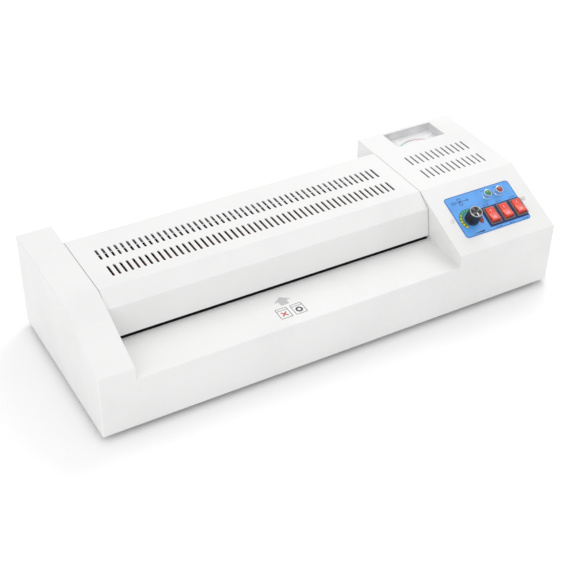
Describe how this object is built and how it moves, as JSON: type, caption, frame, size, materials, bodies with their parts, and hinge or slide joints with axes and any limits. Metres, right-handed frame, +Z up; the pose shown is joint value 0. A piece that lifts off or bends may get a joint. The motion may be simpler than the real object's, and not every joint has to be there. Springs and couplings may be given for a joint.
{
  "type": "pouch laminator",
  "caption": "Desktop pouch laminator: metal case, feed table, vented roller cover, gear-driven hot and exit rollers, sloping control panel, sunk meter.",
  "frame": {"origin": "middle of the footprint, on the surface that the feet stand on", "axes": "+X along the rollers towards the control housing, +Y from the feed table to the exit, +Z up"},
  "size_m": [0.52, 0.2, 0.11],
  "materials": {
    "powder_coat": "white fine-textured powder coat",
    "zinc_plate": "zinc-plated sheet",
    "steel": "turned steel",
    "spring_steel": "drawn spring wire",
    "chrome": "bright plated",
    "aluminium": "turned aluminium",
    "bush_bronze": "sintered bronze",
    "silicone_red": "heat-proof silicone, satin",
    "silicone_black": "silicone, satin",
    "foot_rubber": "matt rubber",
    "gear_nylon": "natural nylon",
    "overlay_blue": "printed film",
    "rocker_red": "translucent moulding",
    "switch_grey": "moulded nylon",
    "knob_black": "moulded, ribbed",
    "lens_green": "tinted lens",
    "lens_red": "tinted lens",
    "meter_grey": "moulded",
    "dial_white": "printed dial",
    "needle_black": "lacquered needle",
    "clear_window": "clear acrylic",
    "quartz": "quartz tube",
    "board_green": "circuit board",
    "motor_paint": "grey enamel",
    "black_coat": "matt black coat, slick",
    "inlet_black": "moulded",
    "brass_pin": "plated brass"
  },
  "bodies": {
    "case": {"base_plate": "zinc_plate", "case_screws": "zinc_plate", "control_board": "board_green", "exit_springs": "spring_steel", "exit_table": "powder_coat", "gear_motor": "motor_paint", "heat_shield": "zinc_plate", "heater_brackets": "zinc_plate", "heater_tubes": "quartz", "hot_springs": "spring_steel", "housing": "powder_coat", "idler_pin": "steel", "inlet_pins": "brass_pin", "lamp_bezels": "chrome", "left_side_frame": "zinc_plate", "lower_bushes": "bush_bronze", "meter_case": "meter_grey", "meter_dial": "dial_white", "meter_window": "clear_window", "motor_standoffs": "steel", "panel_overlay": "overlay_blue", "panel_screws": "chrome", "potentiometer": "zinc_plate", "pouch_guides": "black_coat", "power_inlet": "inlet_black", "power_lamp": "lens_red", "ready_lamp": "lens_green", "rear_panel": "powder_coat", "right_side_frame": "zinc_plate", "roller_cover": "powder_coat", "rubber_feet": "foot_rubber", "spring_bridges": "zinc_plate", "switch_frames": "switch_grey", "thermostat": "aluminium", "tie_rods": "steel", "transformer": "motor_paint"},
    "hot_carriage": {"hot_bearing_blocks": "bush_bronze"},
    "exit_carriage": {"exit_bearing_blocks": "bush_bronze"},
    "upper_hot_roller": {"upper_hot_core": "aluminium", "upper_hot_sleeve": "silicone_red", "upper_hot_gear": "gear_nylon"},
    "lower_hot_roller": {"lower_hot_core": "aluminium", "lower_hot_sleeve": "silicone_red", "lower_hot_gear": "gear_nylon", "drive_gear": "gear_nylon"},
    "upper_exit_roller": {"upper_exit_core": "steel", "upper_exit_sleeve": "silicone_black", "upper_exit_gear": "gear_nylon"},
    "lower_exit_roller": {"lower_exit_core": "steel", "lower_exit_sleeve": "silicone_black", "lower_exit_gear": "gear_nylon"},
    "idler": {"idler_gear": "gear_nylon"},
    "pinion": {"motor_pinion": "steel"},
    "knob": {"temperature_knob": "knob_black", "knob_cap": "aluminium", "potentiometer_shaft": "steel"},
    "direction_switch": {"direction_rocker": "rocker_red"},
    "heat_switch": {"heat_rocker": "rocker_red"},
    "power_switch": {"power_rocker": "rocker_red"},
    "pointer": {"meter_pointer": "needle_black"}
  },
  "joints": [
    {"name": "lower_hot_spin", "type": "hinge", "parent": "case", "child": "lower_hot_roller", "pos_m": [0, 0.012, 0.04875], "axis": [1, 0, 0], "continuous": true},
    {"name": "hot_lift", "type": "slide", "parent": "case", "child": "hot_carriage", "axis": [0, 0, 1], "range_m": [0, 0.0015], "stiffness_N_per_m": 4000, "springref_m": -0.004, "deforming": ["hot_springs"]},
    {"name": "upper_hot_spin", "type": "hinge", "parent": "hot_carriage", "child": "upper_hot_roller", "pos_m": [0, 0.012, 0.08275], "axis": [1, 0, 0], "continuous": true},
    {"name": "exit_lift", "type": "slide", "parent": "case", "child": "exit_carriage", "axis": [0, 0, 1], "range_m": [0, 0.0015], "stiffness_N_per_m": 4000, "springref_m": -0.004, "deforming": ["exit_springs"]},
    {"name": "upper_exit_spin", "type": "hinge", "parent": "exit_carriage", "child": "upper_exit_roller", "pos_m": [0, 0.048, 0.07975], "axis": [1, 0, 0], "continuous": true},
    {"name": "lower_exit_spin", "type": "hinge", "parent": "case", "child": "lower_exit_roller", "pos_m": [0, 0.048, 0.05175], "axis": [1, 0, 0], "continuous": true},
    {"name": "idler_spin", "type": "hinge", "parent": "case", "child": "idler", "pos_m": [0, 0.03399, 0.02985], "axis": [1, 0, 0], "continuous": true},
    {"name": "pinion_spin", "type": "hinge", "parent": "case", "child": "pinion", "pos_m": [0, -0.01901, 0.03746], "axis": [1, 0, 0], "continuous": true},
    {"name": "knob_turn", "type": "hinge", "parent": "case", "child": "knob", "pos_m": [0.1736, -0.06634, 0.08957], "axis": [0, -0.4086, 0.9127], "range_deg": [-300, 0]},
    {"name": "direction_press", "type": "hinge", "parent": "case", "child": "direction_switch", "pos_m": [0.1986, -0.06889, 0.08733], "axis": [1, 0, 0], "range_deg": [0, 16]},
    {"name": "heat_press", "type": "hinge", "parent": "case", "child": "heat_switch", "pos_m": [0.2158, -0.06889, 0.08733], "axis": [1, 0, 0], "range_deg": [0, 16]},
    {"name": "power_press", "type": "hinge", "parent": "case", "child": "power_switch", "pos_m": [0.233, -0.06889, 0.08733], "axis": [1, 0, 0], "range_deg": [0, 16]},
    {"name": "pointer_swing", "type": "hinge", "parent": "case", "child": "pointer", "pos_m": [0.2001, 0.0586, 0.1007], "axis": [0, 0, 1], "range_deg": [-156, 0], "stiffness_Nm_per_rad": 0.000002, "springref_deg": 11.46}
  ],
  "couplings": [
    {"joint": "upper_hot_spin", "follows": "lower_hot_spin", "ratio": -1},
    {"joint": "idler_spin", "follows": "lower_hot_spin", "ratio": -1.4167},
    {"joint": "lower_exit_spin", "follows": "lower_hot_spin", "ratio": 1.2143},
    {"joint": "upper_exit_spin", "follows": "lower_hot_spin", "ratio": -1.2143},
    {"joint": "pinion_spin", "follows": "lower_hot_spin", "ratio": -2.6667}
  ]
}
